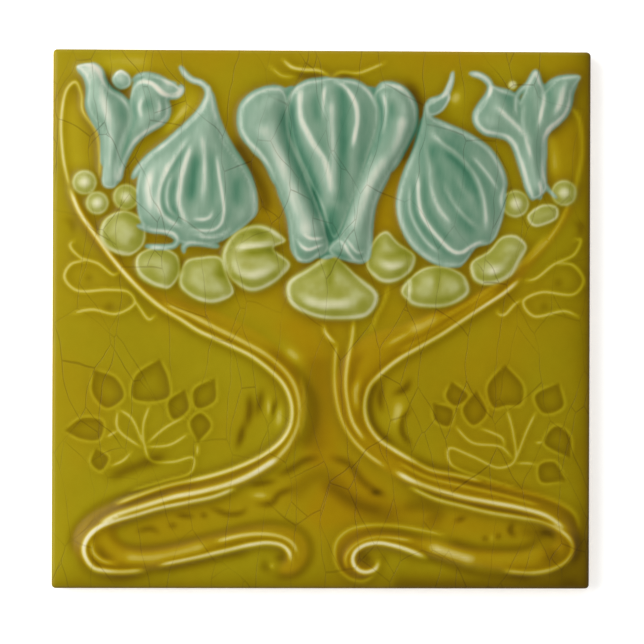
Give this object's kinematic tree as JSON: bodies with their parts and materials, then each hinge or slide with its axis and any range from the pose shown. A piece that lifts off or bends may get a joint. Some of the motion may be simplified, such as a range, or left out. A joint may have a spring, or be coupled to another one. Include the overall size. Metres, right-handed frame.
{
  "type": "art nouveau tile",
  "caption": "Square glazed relief tile with a moulded art nouveau ornament of flowers, buds, leaves and curling stems, and a ribbed back.",
  "frame": {"origin": "middle of the back, on the plane of its ribs", "axes": "+Z out of the glazed face, +Y towards the top of the ornament, +X to its right"},
  "size_m": [0.1524, 0.1524, 0.0108],
  "materials": {
    "glaze": "gloss"
  },
  "bodies": {
    "root": {"tile": "glaze"}
  },
  "joints": []
}
